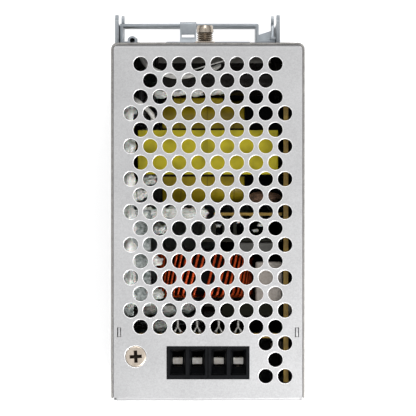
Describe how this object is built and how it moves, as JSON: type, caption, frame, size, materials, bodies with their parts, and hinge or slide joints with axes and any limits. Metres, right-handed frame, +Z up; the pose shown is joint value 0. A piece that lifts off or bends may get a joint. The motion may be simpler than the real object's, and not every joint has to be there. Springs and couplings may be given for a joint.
{
  "type": "din rail power supply",
  "caption": "Sheet-metal power supply with perforated ends, screw-clamp terminals, internal boards and wound parts, and a sprung clip for a 35 mm rail.",
  "frame": {"origin": "middle of the underside of the whole part's box, clip included", "axes": "+X across the width, +Y from the front panel to the rail, +Z up as mounted, output terminals on top"},
  "size_m": [0.063, 0.129, 0.1252],
  "materials": {
    "case_steel": "zinc-coated sheet steel, fine satin grain",
    "clip_steel": "zinc-plated pressed steel",
    "plated_steel": "nickel-plated, slightly warm",
    "aluminium": "plain extruded and folded sheet",
    "black_plastic": "moulded, fine matt texture",
    "white_plastic": "moulded nylon",
    "circuit_board": "glass-epoxy laminate, tan at its sawn edges",
    "insulator": "thin fibre sheet",
    "ferrite": "sintered, dull dark grey",
    "yellow_tape": "polyester winding tape",
    "copper_wire": "enamelled copper wire, orange-red",
    "can_sleeve": "heat-shrunk vinyl sleeve",
    "grey_epoxy": "potted box, warm grey",
    "brown_ceramic": "dipped coating, crazed",
    "lens": "tinted clear lens"
  },
  "bodies": {
    "case": {"board_spacer_1": "white_plastic", "board_spacer_2": "white_plastic", "board_spacer_3": "white_plastic", "board_spacer_4": "white_plastic", "bracket_screw_1": "plated_steel", "bracket_screw_2": "plated_steel", "bridge_rectifier": "black_plastic", "bulk_capacitor_1": "can_sleeve", "bulk_capacitor_2": "can_sleeve", "choke_core": "ferrite", "choke_winding": "copper_wire", "control_board": "circuit_board", "earth_screw": "plated_steel", "earth_washer": "plated_steel", "film_capacitor": "grey_epoxy", "filter_choke": "ferrite", "front_panel": "case_steel", "input_end_plate": "case_steel", "input_plate_screw": "plated_steel", "input_terminal": "black_plastic", "insulator_sheet": "insulator", "latch_spring": "clip_steel", "main_board": "circuit_board", "output_capacitor_1": "can_sleeve", "output_capacitor_2": "can_sleeve", "output_diode": "black_plastic", "output_end_plate": "case_steel", "output_plate_screw": "plated_steel", "output_terminal_left": "black_plastic", "output_terminal_right": "black_plastic", "primary_heatsink": "aluminium", "rail_bracket": "clip_steel", "secondary_heatsink": "aluminium", "slide_rivet": "plated_steel", "status_light": "lens", "switch_transistor": "black_plastic", "terminal_board": "circuit_board", "transformer_bobbin": "black_plastic", "transformer_coil": "yellow_tape", "transformer_core": "ferrite", "transformer_tape": "yellow_tape", "trimmer_base": "white_plastic", "varistor": "brown_ceramic", "wrap_cover": "case_steel"},
    "latch": {"latch_slider": "clip_steel"},
    "trimmer": {"trimmer_shaft": "white_plastic"},
    "output_screw_1": {"output_clamp_screw_1": "plated_steel"},
    "output_clamp_1": {"output_clamp_1": "plated_steel"},
    "output_screw_2": {"output_clamp_screw_2": "plated_steel"},
    "output_clamp_2": {"output_clamp_2": "plated_steel"},
    "output_screw_3": {"output_clamp_screw_3": "plated_steel"},
    "output_clamp_3": {"output_clamp_3": "plated_steel"},
    "output_screw_4": {"output_clamp_screw_4": "plated_steel"},
    "output_clamp_4": {"output_clamp_4": "plated_steel"},
    "input_screw_1": {"input_clamp_screw_1": "plated_steel"},
    "input_clamp_1": {"input_clamp_1": "plated_steel"},
    "input_screw_2": {"input_clamp_screw_2": "plated_steel"},
    "input_clamp_2": {"input_clamp_2": "plated_steel"},
    "input_screw_3": {"input_clamp_screw_3": "plated_steel"},
    "input_clamp_3": {"input_clamp_3": "plated_steel"}
  },
  "joints": [
    {"name": "latch_slide", "type": "slide", "parent": "case", "child": "latch", "axis": [0, 0, -1], "range_m": [0, 0.005], "stiffness_N_per_m": 2000, "springref_m": -0.002, "deforming": ["latch_spring"]},
    {"name": "trimmer_turn", "type": "hinge", "parent": "case", "child": "trimmer", "pos_m": [-0.004, -0.06385, 0.092], "axis": [0, 1, 0], "range_deg": [-135, 135]},
    {"name": "output_screw_1_turn", "type": "hinge", "parent": "case", "child": "output_screw_1", "pos_m": [-0.00988, -0.05985, 0.1155], "axis": [0, 1, 0], "range_deg": [0, 1620]},
    {"name": "output_clamp_1_slide", "type": "slide", "parent": "case", "child": "output_clamp_1", "axis": [0, -1, 0], "range_m": [0, 0.00225]},
    {"name": "output_screw_2_turn", "type": "hinge", "parent": "case", "child": "output_screw_2", "pos_m": [-0.00352, -0.05985, 0.1155], "axis": [0, 1, 0], "range_deg": [0, 1620]},
    {"name": "output_clamp_2_slide", "type": "slide", "parent": "case", "child": "output_clamp_2", "axis": [0, -1, 0], "range_m": [0, 0.00225]},
    {"name": "output_screw_3_turn", "type": "hinge", "parent": "case", "child": "output_screw_3", "pos_m": [0.00352, -0.05985, 0.1155], "axis": [0, 1, 0], "range_deg": [0, 1620]},
    {"name": "output_clamp_3_slide", "type": "slide", "parent": "case", "child": "output_clamp_3", "axis": [0, -1, 0], "range_m": [0, 0.00225]},
    {"name": "output_screw_4_turn", "type": "hinge", "parent": "case", "child": "output_screw_4", "pos_m": [0.00988, -0.05985, 0.1155], "axis": [0, 1, 0], "range_deg": [0, 1620]},
    {"name": "output_clamp_4_slide", "type": "slide", "parent": "case", "child": "output_clamp_4", "axis": [0, -1, 0], "range_m": [0, 0.00225]},
    {"name": "input_screw_1_turn", "type": "hinge", "parent": "case", "child": "input_screw_1", "pos_m": [0.00635, -0.05985, 0.0097], "axis": [0, 1, 0], "range_deg": [0, 1620]},
    {"name": "input_clamp_1_slide", "type": "slide", "parent": "case", "child": "input_clamp_1", "axis": [0, -1, 0], "range_m": [0, 0.00225]},
    {"name": "input_screw_2_turn", "type": "hinge", "parent": "case", "child": "input_screw_2", "pos_m": [0, -0.05985, 0.0097], "axis": [0, 1, 0], "range_deg": [0, 1620]},
    {"name": "input_clamp_2_slide", "type": "slide", "parent": "case", "child": "input_clamp_2", "axis": [0, -1, 0], "range_m": [0, 0.00225]},
    {"name": "input_screw_3_turn", "type": "hinge", "parent": "case", "child": "input_screw_3", "pos_m": [-0.00635, -0.05985, 0.0097], "axis": [0, 1, 0], "range_deg": [0, 1620]},
    {"name": "input_clamp_3_slide", "type": "slide", "parent": "case", "child": "input_clamp_3", "axis": [0, -1, 0], "range_m": [0, 0.00225]}
  ],
  "couplings": [
    {"joint": "output_screw_1_turn", "follows": "output_clamp_1_slide", "rad_per_m": 12566},
    {"joint": "output_screw_2_turn", "follows": "output_clamp_2_slide", "rad_per_m": 12566},
    {"joint": "output_screw_3_turn", "follows": "output_clamp_3_slide", "rad_per_m": 12566},
    {"joint": "output_screw_4_turn", "follows": "output_clamp_4_slide", "rad_per_m": 12566},
    {"joint": "input_screw_1_turn", "follows": "input_clamp_1_slide", "rad_per_m": 12566},
    {"joint": "input_screw_2_turn", "follows": "input_clamp_2_slide", "rad_per_m": 12566},
    {"joint": "input_screw_3_turn", "follows": "input_clamp_3_slide", "rad_per_m": 12566}
  ]
}
